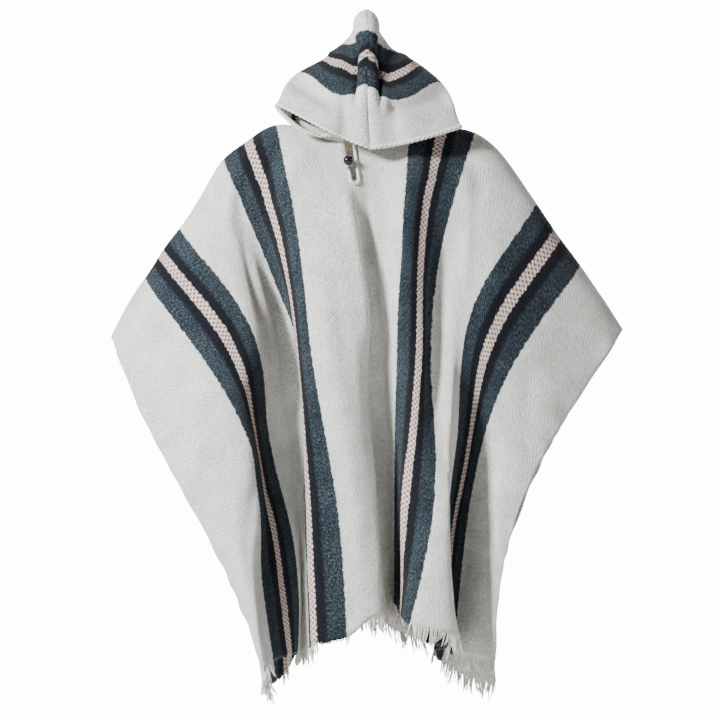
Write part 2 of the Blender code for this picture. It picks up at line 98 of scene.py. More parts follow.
floor_paper = bpy.data.materials.new("floor_paper")
floor_paper.use_nodes = True
floor_shader = floor_paper.node_tree.nodes["Principled BSDF"]
floor_shader.inputs["Base Color"].default_value = (0.80, 0.80, 0.80, 1.0)
floor_shader.inputs["Roughness"].default_value = 0.9
floor_steps = np.linspace(-FLOOR_HALF, FLOOR_HALF, FLOOR_POINTS)
floor_sheet = floor_points(*np.meshgrid(floor_steps, floor_steps, indexing="ij"))
floor = add_mesh("floor", floor_sheet, grid_faces(FLOOR_POINTS, FLOOR_POINTS), None, floor_paper)

SOFT_LAMPS = (
    # name; place; point that it faces; side of the square; watts; colour
    ("key_lamp", (-3.8, -3.3, 2.1), (0.0, 0.0, -0.45), 1.0, 915.0, (0.97, 0.99, 1.0)),
    ("side_lamp", (4.6, -0.9, 1.6), (0.0, 0.0, -0.45), 1.1, 80.0, (0.97, 0.99, 1.0)),
    ("fill_lamp", (1.6, -4.8, 0.6), (0.0, 0.0, -0.5), 2.0, 6.0, (1.0, 0.90, 0.74)),
    ("back_lamp", (1.6, 4.4, 1.6), (0.0, 0.0, -0.3), 2.2, 260.0, (1.0, 1.0, 1.0)),
)
for name, place, aim, side, watts, colour in SOFT_LAMPS:
    lamp_data = bpy.data.lights.new(name, "AREA")
    lamp_data.shape = "SQUARE"
    lamp_data.size = side
    lamp_data.energy = watts
    lamp_data.color = colour
    lamp = bpy.data.objects.new(name, lamp_data)
    way = np.array(aim) - np.array(place)
    lamp.location = place
    lamp.rotation_euler = (
        np.arctan2(np.hypot(way[0], way[1]), -way[2]), 0.0, np.arctan2(way[0], -way[1]) + np.pi)
    bpy.context.scene.collection.objects.link(lamp)

# A small warm glow in the hollow of the neck, like the light that thin wool lets through
GLOW_PLACE = (-0.020, -0.020, 0.045)
GLOW_WATTS = 0.15
GLOW_SOFT = 0.03
glow_data = bpy.data.lights.new("hollow_glow", "POINT")
glow_data.energy = GLOW_WATTS
glow_data.shadow_soft_size = GLOW_SOFT
glow_data.color = (1.0, 0.88, 0.60)
glow = bpy.data.objects.new("hollow_glow", glow_data)
glow.location = GLOW_PLACE
bpy.context.scene.collection.objects.link(glow)

# What the camera sees round the poncho is white paper, and the room lights it softly and warmly
studio = bpy.data.worlds.new("studio")
studio.use_nodes = True
studio_tree = studio.node_tree
room = studio_tree.nodes["Background"]
room.inputs["Color"].default_value = (1.0, 0.90, 0.74, 1.0)
room.inputs["Strength"].default_value = 0.03
white = studio_tree.nodes.new("ShaderNodeBackground")
white.inputs["Color"].default_value = (1.0, 1.0, 1.0, 1.0)
white.inputs["Strength"].default_value = 14.0
seen = studio_tree.nodes.new("ShaderNodeLightPath")
either = studio_tree.nodes.new("ShaderNodeMixShader")
studio_tree.links.new(seen.outputs["Is Camera Ray"], either.inputs["Fac"])
studio_tree.links.new(room.outputs["Background"], either.inputs[1])
studio_tree.links.new(white.outputs["Background"], either.inputs[2])
studio_tree.links.new(either.outputs["Shader"], studio_tree.nodes["World Output"].inputs["Surface"])
bpy.context.scene.world = studio

# Body. One straight cloth of hand-woven wool, 1.244 m wide and 1.85 m long, folded over the
# shoulders, with a neck opening and a slit cut in it. It hangs in long folds from the fold line.
# A point has a cut, its distance from the middle of the cloth, and a down, from the fold.
WOOL = 0.003
HALF_WIDTH = 0.622
FRONT_LENGTH = 0.900
BACK_LENGTH = 0.950
SHOULDER_ROUND = 0.048
WING_ROUND = 0.030
SHOULDER_REACH = 0.250
NECK_CENTRE = 0.004
NECK_HALF = 0.085
NECK_FRONT = 0.050
NECK_BACK = 0.070
SLIT_LEFT = -0.002
SLIT_RIGHT = 0.012
SLIT_BOTTOM = 0.130
LEVELS = np.array([0.0, 0.25, 0.5, 0.75, 1.0])
BODY_COLUMNS = (84, 14, 2, 13, 83)
FRONT_ROWS = 124
BACK_ROWS = 112

# cut; x and z at the shoulder fold; z at the hem; x and y at each level below the fold, in mm
FRONT_LINES = (
    (-622, (-430, -348), -962, (-374, -289, -210, -152), (-95, -115, -96, -94)),
    (-557, (-404, -294), -936, (-315, -233, -189, -162), (-122, -150, -138, -124)),
    (-492, (-373, -246), -912, (-261, -178, -168, -147), (-140, -150, -122, -108)),
    (-433, (-344, -203), -903, (-222, -175, -143, -118), (-142, -112, -88, -80)),
    (-374, (-312, -159), -900, (-188, -156, -112, -104), (-132, -74, -60, -54)),
    (-299, (-270, -96), -896, (-177, -122, -99, -96), (-100, -54, -40, -28)),
    (-224, (-234, -37), -890, (-158, -98, -86, -80), (-78, -78, -92, -92)),
    (-166, (-191, -3), -880, (-132, -99, -85, -75), (-98, -128, -146, -150)),
    (-108, (-142, 22), -870, (-103, -75, -35, -18), (-125, -150, -158, -162)),
    (-54, (-82, 18), -840, (-49, -26, 2, 19), (-133, -158, -160, -164)),
    (0, (-24, 14), -830, (3, 20, 36, 50), (-124, -136, -136, -142)),
    (54, (35, 14), -820, (33, 45, 49, 57), (-100, -98, -98, -96)),
    (108, (93, 16), -815, (79, 70, 66, 66), (-125, -118, -94, -74)),
    (166, (150, 17), -831, (113, 107, 88, 77), (-108, -135, -138, -122)),
    (224, (206, 10), -845, (151, 128, 135, 92), (-95, -122, -160, -168)),
    (299, (263, -40), -868, (184, 161, 164, 174), (-115, -150, -152, -154)),
    (374, (314, -115), -884, (205, 175, 156, 161), (-140, -120, -85, -80)),
    (433, (351, -168), -893, (241, 198, 165, 157), (-142, -88, -60, -45)),
    (492, (391, -224), -905, (282, 215, 187, 170), (-135, -80, -42, -18)),
    (557, (430, -278), -908, (332, 259, 224, 210), (-115, -108, -92, -70)),
    (622, (466, -336), -914, (380, 297, 252, 241), (-85, -110, -112, -96)),
)
BACK_LINES = (
    (-622, (-430, -348), -962, (-370, -284, -209, -154), (95, 110, 80, 45)),
    (-557, (-404, -294), -960, (-316, -238, -196, -168), (122, 145, 125, 105)),
    (-492, (-373, -246), -965, (-262, -190, -170, -154), (142, 172, 165, 160)),
    (-433, (-344, -203), -945, (-222, -165, -138, -128), (158, 172, 180, 205)),
    (-374, (-312, -159), -892, (-190, -150, -118, -98), (152, 148, 150, 170)),
    (-299, (-270, -96), -880, (-168, -140, -118, -112), (130, 105, 100, 105)),
    (-224, (-234, -37), -876, (-146, -112, -100, -95), (112, 90, 70, 48)),
    (-166, (-191, -3), -874, (-118, -88, -66, -60), (125, 115, 110, 98)),
    (-108, (-142, 22), -870, (-86, -76, -70, -66), (145, 160, 158, 155)),
    (-54, (-82, 18), -856, (-46, -36, -30, -26), (155, 172, 170, 172)),
    (0, (-24, 14), -848, (2, 12, 18, 24), (140, 150, 146, 140)),
    (54, (35, 14), -873, (46, 58, 68, 74), (148, 158, 150, 140)),
    (108, (93, 16), -893, (92, 102, 112, 122), (158, 178, 168, 150)),
    (166, (150, 17), -898, (128, 138, 156, 172), (140, 150, 134, 108)),
    (224, (206, 10), -895, (156, 172, 198, 222), (118, 112, 98, 90)),
    (299, (263, -40), -895, (186, 200, 214, 226), (140, 130, 146, 152)),
    (374, (314, -115), -902, (214, 206, 188, 166), (158, 180, 186, 182)),
    (433, (351, -168), -912, (248, 236, 180, 138), (162, 212, 220, 208)),
    (492, (391, -224), -930, (290, 272, 206, 152), (158, 190, 232, 240)),
    (557, (430, -278), -958, (334, 290, 232, 202), (130, 150, 200, 216)),
    (622, (466, -336), -968, (378, 296, 250, 248), (90, 108, 152, 188)),
)

# Creases: cut and down of both ends, half width and rise, in mm. Down is negative
# on the back, and a negative rise is a trough.
CREASES = (
    (246, 190, 242, 640, 42, -22.0),
    (186, 190, 186, 560, 20, 5.0),
    (6, 133, 32, 480, 16, -10.0),
    (-16, 140, 2, 480, 13, 4.0),
    (52, 150, 62, 430, 16, 6.0),
    (10, 400, 24, 900, 28, -14.0),
    (-72, 230, -70, 800, 26, 5.0),
    (-216, 140, -240, 480, 32, -15.0),
    (300, 600, 316, 900, 22, -9.0),
    (-60, 70, -150, 180, 16, 5.7),
    (-95, 60, -210, 150, 14, -4.9),
    (-130, 30, -300, 120, 18, 5.3),
    (-190, 60, -330, 260, 20, -4.9),
    (-250, 180, -330, 420, 18, 4.6),
    (-350, 120, -470, 300, 22, -4.6),
    (-520, 240, -600, 420, 20, 4.6),
    (-470, 420, -560, 640, 22, -4.9),
    (-560, 560, -600, 860, 15, 5.7),
    (-420, 560, -470, 820, 14, 4.6),
    (-210, 480, -230, 800, 12, 4.2),
    (-60, 260, -40, 560, 16, -3.8),
    (-20, 140, 8, 420, 13, 4.2),
    (10, 520, -20, 860, 15, 4.2),
    (30, 135, 42, 300, 12, -4.9),
    (85, 60, 180, 150, 16, 4.9),
    (60, 130, 130, 330, 15, -3.4),
    (150, 30, 290, 110, 18, -4.6),
    (210, 90, 330, 240, 18, 4.6),
    (270, 260, 300, 560, 16, -3.8),
    (350, 110, 450, 300, 20, 4.2),
    (520, 220, 600, 430, 22, -4.6),
    (540, 430, 600, 640, 16, 4.9),
    (560, 650, 610, 880, 14, -4.9),
    (150, 600, 180, 850, 12, 3.8),
    (330, 620, 360, 860, 13, -3.8),
    (-80, -90, -190, -230, 16, 5.3),
    (-150, -40, -300, -160, 18, -4.9),
    (-260, -180, -340, -430, 18, 4.9),
    (-380, -160, -520, -360, 22, -4.6),
    (-540, -300, -600, -560, 18, 4.9),
    (-470, -600, -520, -900, 15, -4.9),
    (-100, -330, -80, -700, 16, -4.2),
    (-10, -140, 0, -520, 18, 4.2),
    (70, -110, 160, -260, 16, -4.9),
    (130, -50, 290, -150, 18, 4.9),
    (240, -200, 330, -450, 18, -4.6),
    (300, -500, 330, -860, 15, 4.6),
    (430, -220, 560, -420, 22, 4.6),
    (560, -430, 600, -820, 16, -4.9),
)


def spline_weights(knots, at):
    """Weights that take values at the knots to values between them on a natural cubic spline:
    straight-line shares, plus cubic terms of the second derivatives, which one solve gives."""
    count, step = len(knots), np.diff(knots)
    bending, rise = np.eye(count), np.zeros((count, count))
    for i in range(1, count - 1):
        bending[i, i - 1:i + 2] = step[i - 1], 2 * (step[i - 1] + step[i]), step[i]
        rise[i, i - 1:i + 2] = 6 / step[i - 1], -6 / step[i - 1] - 6 / step[i], 6 / step[i]
    curvature = np.linalg.solve(bending, rise)
    at = np.clip(np.asarray(at, float), knots[0], knots[-1])
    left = np.clip(np.searchsorted(knots, at) - 1, 0, count - 2)
    width = step[left]
    ahead = at - knots[left]
    behind = width - ahead
    weights = np.zeros((len(at), count))
    row = np.arange(len(at))
    weights[row, left] += behind / width
    weights[row, left + 1] += ahead / width
    weights += ((behind ** 3 / width - width * behind) / 6)[:, None] * curvature[left]
    weights += ((ahead ** 3 / width - width * ahead) / 6)[:, None] * curvature[left + 1]
    return weights


def drape(lines, length, cut, down):
    """Cloth points. The drop below the fold is that of a catenary of the fold's radius, and the
    sideways place and the depth are splines of the table's rows, in the cut and in the drop."""
    shape = cut.shape
    cut, share = cut.ravel(), down.ravel() / length
    cuts, fold, hem, side, depth = (np.array([row[k] for row in lines]) / 1000 for k in range(5))
    facing = np.sign(depth.sum())
    across = spline_weights(cuts, cut)
    bend = np.exp(-(cut / SHOULDER_REACH) ** 4)
    radius = (WING_ROUND + (SHOULDER_ROUND - WING_ROUND) * bend) / length

    def reach(share_down, fold_share):
        return fold_share * length * np.arcsinh(share_down / fold_share)

    def drop(share_down, fold_share):
        whole = np.sqrt(1 + fold_share ** 2) - fold_share
        return (np.sqrt(share_down ** 2 + fold_share ** 2) - fold_share) / whole

    mean_round = SHOULDER_ROUND / length
    along = spline_weights(drop(LEVELS, mean_round), drop(share, mean_round))
    side_at = across @ np.column_stack([fold[:, 0], side])
    depth_at = across @ np.column_stack([np.zeros(len(lines)), depth])
    depth_at -= facing * reach(LEVELS[None, :], radius[:, None])
    x = (side_at * along).sum(axis=1)
    y = facing * reach(share, radius) + (depth_at * along).sum(axis=1)
    top = across @ fold[:, 1]
    z = top + (across @ hem - top) * drop(share, radius)
    return np.stack([x, y, z], axis=1).reshape(shape + (3,))


def unit(vectors):
    """Vectors divided by their own length."""
    return vectors / np.linalg.norm(vectors, axis=-1, keepdims=True)


def grid_normals(points):
    """Cross product of the grid's two directions, of length one."""
    return unit(np.cross(np.gradient(points, axis=0), np.gradient(points, axis=1)))


def crease_height(cut, down):
    """Sum of the creases. Each is a bell curve of the distance from its line, in half widths,
    and fades towards both ends as one less the fourth power of the way from its middle."""
    height = np.zeros(cut.shape)
    for c0, d0, c1, d1, wide, rise in np.array(CREASES) / 1000:
        way = np.array([c1 - c0, d1 - d0])
        share = ((cut - c0) * way[0] + (down - d0) * way[1]) / (way ** 2).sum()
        nearest = np.clip(share, 0, 1)
        gap = np.hypot(cut - c0 - nearest * way[0], down - d0 - nearest * way[1])
        fade = np.clip(1 - (2 * nearest - 1) ** 4, 0, 1)
        height += rise * fade * np.exp(-(gap / wide) ** 2)
    return height


RIPPLE_RISE = 0.0004
MARGIN_RISE = 0.0016
MARGIN_WIDE = 0.018


def ripple_height(cut, down):
    """Uneven hand of the cloth: three slow crossed waves, and a wavy edge along each margin."""
    slow = np.sin(41 * cut + 9 * down) + np.sin(17 * cut - 37 * down + 1.1)
    slow = slow + np.sin(63 * cut + 29 * down + 2.3)
    margin = np.exp(-((HALF_WIDTH - np.abs(cut)) / MARGIN_WIDE) ** 2)
    return RIPPLE_RISE * slow + MARGIN_RISE * margin * np.sin(72 * down + 1.7 * np.sin(19 * down))


def steps_between(edges, counts):
    """Equal steps in each stretch between two edges."""
    pieces = [np.linspace(a, b, n, endpoint=False) for a, b, n in zip(edges, edges[1:], counts)]
    return np.concatenate(pieces + [edges[-1:]])


def body_side(lines, length, rows, neck_depth):
    """Cut, down, points and outward normals of the front or the back. Rows start on the neck
    opening, half an ellipse, or on the fold beside it, and lie closer near the fold."""
    neck_sides = NECK_CENTRE - NECK_HALF, NECK_CENTRE + NECK_HALF
    edges = np.array([-HALF_WIDTH, neck_sides[0], SLIT_LEFT, SLIT_RIGHT, neck_sides[1], HALF_WIDTH])
    cut = steps_between(edges, BODY_COLUMNS)
    aside = np.clip(np.abs(cut - NECK_CENTRE) / NECK_HALF, 0, 1)
    top = (neck_depth * np.sqrt(1 - aside ** 2))[:, None]
    down = top + (length - top) * np.linspace(0, 1, rows)[None, :] ** 1.25
    cut = np.repeat(cut[:, None], rows, axis=1)
    points = drape(lines, length, cut, down)
    outward = grid_normals(points)
    return cut, down, points, outward * np.sign(outward[..., 1].sum() * points[..., 1].sum())


def build_body_cloth():
    """Front and back grids joined along the fold, without the cells of the slit."""
    cut_f, down_f, front, out_f = body_side(FRONT_LINES, FRONT_LENGTH, FRONT_ROWS, NECK_FRONT)
    cut_b, down_b, back, out_b = body_side(BACK_LINES, BACK_LENGTH, BACK_ROWS, NECK_BACK)
    joined = np.abs(cut_f[:, 0] - NECK_CENTRE) > NECK_HALF - 1e-6
    shared = unit(out_f[:, 0] + out_b[:, 0])
    out_f[joined, 0] = out_b[joined, 0] = shared[joined]
    front = front + out_f * (crease_height(cut_f, down_f) + ripple_height(cut_f, down_f))[..., None]
    back = back + out_b * (crease_height(cut_b, -down_b) + ripple_height(cut_b, -down_b))[..., None]
    columns = len(cut_f)
    number_f = np.arange(front[..., 0].size).reshape(columns, FRONT_ROWS)
    number_b = number_f.size + np.arange(back[..., 0].size).reshape(columns, BACK_ROWS)
    number_b[joined, 0] = number_f[joined, 0]
    middle_cut = (cut_f[:-1, :-1] + cut_f[1:, :-1]) / 2
    middle_down = (down_f[:-1, :-1] + down_f[:-1, 1:]) / 2
    slit = (middle_cut > SLIT_LEFT) & (middle_cut < SLIT_RIGHT) & (middle_down < SLIT_BOTTOM)

    def quads(number, turned):
        around = [number[:-1, :-1], number[:-1, 1:], number[1:, 1:], number[1:, :-1]]
        return np.stack(around[::-1] if turned else around, axis=-1)

    faces = np.concatenate([quads(number_f, False)[~slit], quads(number_b, True).reshape(-1, 4)])
    points = np.concatenate([front.reshape(-1, 3), back.reshape(-1, 3)])
    uv_front = np.stack([cut_f, -down_f], axis=-1).reshape(-1, 2)
    uv_back = np.stack([cut_b, down_b], axis=-1).reshape(-1, 2)
    return points, faces, np.concatenate([uv_front, uv_back])


def new_group(name, inputs, outputs):
    """An empty shader node group with number sockets, and its two end nodes."""
    group = bpy.data.node_groups.new(name, "ShaderNodeTree")
    for socket, kind in inputs:
        group.interface.new_socket(socket, in_out="INPUT", socket_type=kind)
    for socket, kind in outputs:
        group.interface.new_socket(socket, in_out="OUTPUT", socket_type=kind)
    return group, group.nodes.new("NodeGroupInput"), group.nodes.new("NodeGroupOutput")


def sum_node(tree, operation, first, second=None, third=None):
    """A Math node on sockets or numbers."""
    node = tree.nodes.new("ShaderNodeMath")
    node.operation = operation
    for socket, value in zip(node.inputs, (first, second, third)):
        if isinstance(value, bpy.types.NodeSocket):
            tree.links.new(value, socket)
        elif value is not None:
            socket.default_value = value
    return node.outputs[0]


def vector_node(tree, x, y, z=0.0):
    """A vector from three sockets or numbers."""
    node = tree.nodes.new("ShaderNodeCombineXYZ")
    for socket, value in zip(node.inputs, (x, y, z)):
        if isinstance(value, bpy.types.NodeSocket):
            tree.links.new(value, socket)
        else:
            socket.default_value = value
    return node.outputs[0]


def noise_node(tree, vector, scale, detail=2.0, roughness=0.5):
    """Noise from 0 to 1 on a vector."""
    node = tree.nodes.new("ShaderNodeTexNoise")
    node.inputs["Scale"].default_value = scale
    node.inputs["Detail"].default_value = detail
    node.inputs["Roughness"].default_value = roughness
    tree.links.new(vector, node.inputs["Vector"])
    return node.outputs["Fac"]


def blend_node(tree, share, first, second):
    """Colour that goes from the first to the second as the share goes from 0 to 1."""
    node = tree.nodes.new("ShaderNodeMix")
    node.data_type = "RGBA"
    sockets = node.inputs[0], node.inputs[6], node.inputs[7]
    for socket, value in zip(sockets, (share, first, second)):
        if isinstance(value, bpy.types.NodeSocket):
            tree.links.new(value, socket)
        elif isinstance(value, tuple):
            socket.default_value = (*value, 1.0)
        else:
            socket.default_value = value
    return node.outputs[2]


def step_node(tree, value, low, high):
    """Share that rises from 0 to 1 as the value goes from low to high, with soft ends."""
    node = tree.nodes.new("ShaderNodeMapRange")
    node.interpolation_type = "SMOOTHSTEP"
    node.inputs["From Min"].default_value = low
    node.inputs["From Max"].default_value = high
    tree.links.new(value, node.inputs["Value"])
    return node.outputs["Result"]


CREAM = (0.815, 0.815, 0.790)
CREAM_SHADE = (0.540, 0.530, 0.470)
SLATE_LIGHT = (0.088, 0.118, 0.138)
SLATE_DEEP = (0.005, 0.010, 0.016)
DARK_YARN = (0.0030, 0.0042, 0.0080)
DARK_FLECK = (0.028, 0.025, 0.036)
PINK_YARN = (0.690, 0.570, 0.520)
PINK_FLECK = (0.200, 0.125, 0.105)
# Cut where the inner and the outer band start and end, and shares of a band that are dark and pink
INNER_BAND = (0.108, 0.224)
OUTER_BAND = (0.374, 0.492)
BETWEEN_BANDS = 0.30
DARK_PART = (0.27, 0.73)
PINK_PART = (0.42, 0.58)
LADDER_WARP = 0.0062
LADDER_RUNG = 0.0092
TWILL_PITCH = 0.0054
TWILL_SLOPE = 0.62
FLECK_SLOPE = 0.45
WEAVE_DEPTH = 0.0030


def scaled_vector(tree, x, x_scale, y, y_scale):
    """A vector of two sockets, each times its own number."""
    return vector_node(tree, sum_node(tree, "MULTIPLY", x, x_scale), sum_node(tree, "MULTIPLY", y, y_scale))


def build_wool_group():
    """Woven wool. Share is the place across a band, below 0 or over 1 in the cream. Across and
    Along are metres across and along the warp. The colours step at fixed shares of the band,
    with a ragged edge from noise, and each has its own flecks. Height is the twill and the nap."""
    inputs = [("Share", "NodeSocketFloat"), ("Across", "NodeSocketFloat"), ("Along", "NodeSocketFloat")]
    outputs = [("Color", "NodeSocketColor"), ("Height", "NodeSocketFloat")]
    tree, given, result = new_group("banded_wool", inputs, outputs)
    share, across, along = given.outputs[0], given.outputs[1], given.outputs[2]
    flat = vector_node(tree, across, along)

    # Ragged edge of each stripe: teeth along the warp and fine fuzz
    teeth = noise_node(tree, scaled_vector(tree, across, 20.0, along, 120.0), 1.0, 1.0)
    fuzz = noise_node(tree, flat, 420.0, 1.0)
    ragged = sum_node(tree, "MULTIPLY_ADD", teeth, 0.050, -0.025)
    ragged = sum_node(tree, "ADD", ragged, sum_node(tree, "MULTIPLY_ADD", fuzz, 0.030, -0.015))
    place = sum_node(tree, "ADD", share, ragged)

    # Flecks of the heathered slate, long along the warp and slanted
    slant = sum_node(tree, "MULTIPLY_ADD", along, FLECK_SLOPE, across)
    heather = noise_node(tree, scaled_vector(tree, slant, 420.0, along, 230.0), 1.0, 2.0, 0.65)
    clouds = noise_node(tree, flat, 22.0, 2.0)
    clouded = sum_node(tree, "MULTIPLY_ADD", clouds, 0.16, heather)
    slate = blend_node(tree, step_node(tree, clouded, 0.46, 0.90), SLATE_DEEP, SLATE_LIGHT)
    dark = blend_node(tree, step_node(tree, heather, 0.54, 0.80), DARK_YARN, DARK_FLECK)

    # Broken ladder of brown flecks in the pink stripe: warps side by side, every other one moved
    column = sum_node(tree, "MULTIPLY", across, 1 / LADDER_WARP)
    odd = sum_node(tree, "MULTIPLY", sum_node(tree, "FLOOR", column), 0.5)
    step = sum_node(tree, "MULTIPLY_ADD", along, 1 / LADDER_RUNG, odd)
    rung = sum_node(tree, "SINE", sum_node(tree, "MULTIPLY", step, 2 * np.pi))
    rail = sum_node(tree, "ABSOLUTE", sum_node(tree, "SINE", sum_node(tree, "MULTIPLY", column, np.pi)))
    ladder = sum_node(tree, "MULTIPLY", rung, sum_node(tree, "POWER", rail, 0.5))
    ladder = sum_node(tree, "ADD", ladder, sum_node(tree, "MULTIPLY_ADD", heather, 2.0, -1.0))
    pink = blend_node(tree, step_node(tree, ladder, -0.25, 0.75), PINK_YARN, PINK_FLECK)

    # Cream: uneven twill strokes, with soft greyer patches
    diagonal = sum_node(tree, "MULTIPLY_ADD", along, TWILL_SLOPE, across)
    uneven = noise_node(tree, flat, 110.0, 2.0)
    wave = sum_node(tree, "MULTIPLY", diagonal, 2 * np.pi / TWILL_PITCH)
    twill = sum_node(tree, "SINE", sum_node(tree, "MULTIPLY_ADD", uneven, 10.0, wave))
    strokes = noise_node(tree, scaled_vector(tree, diagonal, 300.0, along, 150.0), 1.0, 2.0, 0.6)
    mottled = sum_node(tree, "MULTIPLY_ADD", strokes, 1.1, sum_node(tree, "MULTIPLY", clouds, 0.5))
    mottled = sum_node(tree, "MULTIPLY_ADD", twill, -0.05, mottled)
    cream = blend_node(tree, step_node(tree, mottled, 0.54, 1.14), CREAM, CREAM_SHADE)

    def within(part, soft):
        rises = step_node(tree, place, part[0] - soft, part[0] + soft)
        falls = step_node(tree, place, part[1] - soft, part[1] + soft)
        return sum_node(tree, "SUBTRACT", rises, falls)

    colour = blend_node(tree, within((0.0, 1.0), 0.012), cream, slate)
    colour = blend_node(tree, within(DARK_PART, 0.035), colour, dark)
    colour = blend_node(tree, within(PINK_PART, 0.010), colour, pink)
    tree.links.new(colour, result.inputs["Color"])
    nap = noise_node(tree, flat, 900.0, 2.0, 0.6)
    height = sum_node(tree, "MULTIPLY_ADD", twill, 0.13, sum_node(tree, "MULTIPLY", strokes, 1.1))
    height = sum_node(tree, "MULTIPLY_ADD", heather, 0.7, height)
    tree.links.new(sum_node(tree, "MULTIPLY_ADD", nap, 0.35, height), result.inputs["Height"])
    return tree


wool_group = build_wool_group()


def wool_material(name, share_of):
    """Wool with the band's place worked out from the cloth UV map by the given function."""
    material = bpy.data.materials.new(name)
    material.use_nodes = True
    tree = material.node_tree
    shader = tree.nodes["Principled BSDF"]
    uv = tree.nodes.new("ShaderNodeUVMap")
    uv.uv_map = "cloth"
    split = tree.nodes.new("ShaderNodeSeparateXYZ")
    tree.links.new(uv.outputs["UV"], split.inputs["Vector"])
    weave = tree.nodes.new("ShaderNodeGroup")
    weave.node_tree = wool_group
    share, across, along = share_of(tree, split.outputs["X"], split.outputs["Y"])
    for socket, value in (("Share", share), ("Across", across), ("Along", along)):
        tree.links.new(value, weave.inputs[socket])
    tree.links.new(weave.outputs["Color"], shader.inputs["Base Color"])
    bump = tree.nodes.new("ShaderNodeBump")
    bump.inputs["Strength"].default_value = 1.0
    bump.inputs["Distance"].default_value = WEAVE_DEPTH
    tree.links.new(weave.outputs["Height"], bump.inputs["Height"])
    tree.links.new(bump.outputs["Normal"], shader.inputs["Normal"])
    shader.inputs["Roughness"].default_value = 0.92
    shader.inputs["Specular IOR Level"].default_value = 0.12
    shader.inputs["Sheen Weight"].default_value = 0.05
    shader.inputs["Sheen Roughness"].default_value = 0.55
    return material


def band_share(tree, away, band):
    """Place across a band: 0 where it starts and 1 where it ends."""
    width = band[1] - band[0]
    return sum_node(tree, "MULTIPLY_ADD", away, 1 / width, -band[0] / width)


def body_share(tree, cut, down):
    """Place across the nearer band: 0 at its inner edge and 1 at its outer edge."""
    away = sum_node(tree, "ABSOLUTE", cut)
    inner = band_share(tree, away, INNER_BAND)
    outer = band_share(tree, away, OUTER_BAND)
    is_outer = sum_node(tree, "GREATER_THAN", away, BETWEEN_BANDS)
    change = sum_node(tree, "SUBTRACT", outer, inner)
    return sum_node(tree, "MULTIPLY_ADD", is_outer, change, inner), cut, down


body_wool = wool_material("body_wool", body_share)
body_cloth = add_mesh("body_cloth", *build_body_cloth(), body_wool)
body_wall = body_cloth.modifiers.new("wall", "SOLIDIFY")
body_wall.thickness = WOOL
body_wall.offset = 0.0
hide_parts("body_front", "body_back")
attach(body_cloth, "root")

# Hood. Two panels of the same wool, sewn together over the head and down the back of it, with
# the band turned across them. The top seam stands up in a pinched pleat that ends in a blunt tip.
HOOD_RIM = 0.350
HOOD_DEEP = 0.280
HOOD_COLLAR = 0.060
COLLAR_GAP = 0.0011
HOOD_DEPTHS = np.array([0.0, 0.105, 0.165, 0.225, 0.255, 0.280])
HOOD_ALONG = 132
HOOD_ACROSS = 104
HOOD_BAND = (0.105, 0.225)
PLEAT_HALF = 0.021
PLEAT_RISE = 0.009
PLEAT_FOOT = PLEAT_HALF * 1.12
FOOT_GROOVE = 0.006
SEAM_NICK = 0.0022
PLEAT_SLIP = {1: 0.010, -1: 0.006}
SLIP_EDGE = 0.004

# Distance along the rim from the top seam; points at the rim, the near edge, the middle and the
# far edge of the band, the tip and the back seam, in mm
LEFT_RIBS = (
    (0, (23, -100, -19), (18, -98, 75), (19, -66, 136), (21, -42, 182), (18, -26, 214), (18, -4, 224)),
    (10, (13, -102, -15), (9, -98, 75), (10, -66, 130), (8, -38, 179), (3, -14, 214), (17, 6, 220)),
    (25, (-2, -105, -10), (-4, -99, 73), (-1, -66, 119), (-5, -32, 168), (-7, 2, 194), (16, 22, 206)),
    (60, (-30, -107, 2), (-24, -96, 74), (-20, -58, 124), (-20, -18, 164), (-9, 12, 182), (22, 40, 192)),
    (100, (-62, -106, 17), (-48, -84, 82), (-42, -40, 132), (-34, 2, 160), (-12, 34, 168), (20, 58, 176)),
    (165, (-138, -72, 56), (-98, -24, 114), (-64, 18, 136), (-38, 50, 142), (-16, 72, 146), (14, 84, 150)),
    (235, (-102, -72, 16), (-118, 4, 58), (-90, 56, 84), (-54, 88, 98), (-26, 102, 102), (6, 108, 106)),
    (295, (-62, -66, 2), (-110, -16, 30), (-96, 48, 44), (-62, 86, 52), (-36, 100, 54), (-8, 105, 55)),
    (350, (-19, -54, -16), (-106, -28, 16), (-100, 30, 20), (-64, 62, 8), (-42, 70, 2), (-20, 72, 0)),
)
RIGHT_RIBS = (
    (0, (23, -100, -19), (18, -98, 75), (19, -66, 136), (21, -42, 182), (18, -26, 214), (18, -4, 224)),
    (10, (33, -102, -18), (27, -98, 74), (28, -66, 127), (29, -38, 178), (30, -14, 213), (17, 6, 220)),
    (25, (48, -104, -17), (40, -99, 70), (40, -68, 112), (38, -32, 166), (39, 2, 192), (16, 22, 206)),
    (60, (78, -107, -12), (64, -98, 66), (58, -62, 104), (50, -20, 156), (44, 12, 180), (22, 40, 192)),
    (100, (118, -100, -2), (98, -84, 75), (84, -44, 116), (68, 0, 152), (48, 34, 166), (20, 58, 176)),
    (165, (180, -74, 18), (142, -26, 97), (110, 18, 130), (78, 50, 142), (50, 72, 148), (14, 84, 150)),
    (235, (128, -66, 6), (146, 4, 58), (112, 56, 82), (70, 88, 96), (40, 102, 102), (6, 108, 106)),
    (295, (66, -62, -2), (112, -16, 30), (90, 48, 42), (48, 86, 50), (20, 100, 53), (-8, 105, 55)),
    (350, (3, -54, -16), (70, -28, 14), (66, 30, 16), (24, 62, 8), (0, 70, 2), (-20, 72, 0)),
)


def cloth_point(lines, length, facing, cut, down):
    """Points of the body's cloth and its outward normals, from steps of a millimetre."""
    here = drape(lines, length, cut, down)
    aside = drape(lines, length, cut + 0.001, down)
    below = drape(lines, length, cut, down + 0.001)
    return here, facing * unit(np.cross(aside - here, below - here))


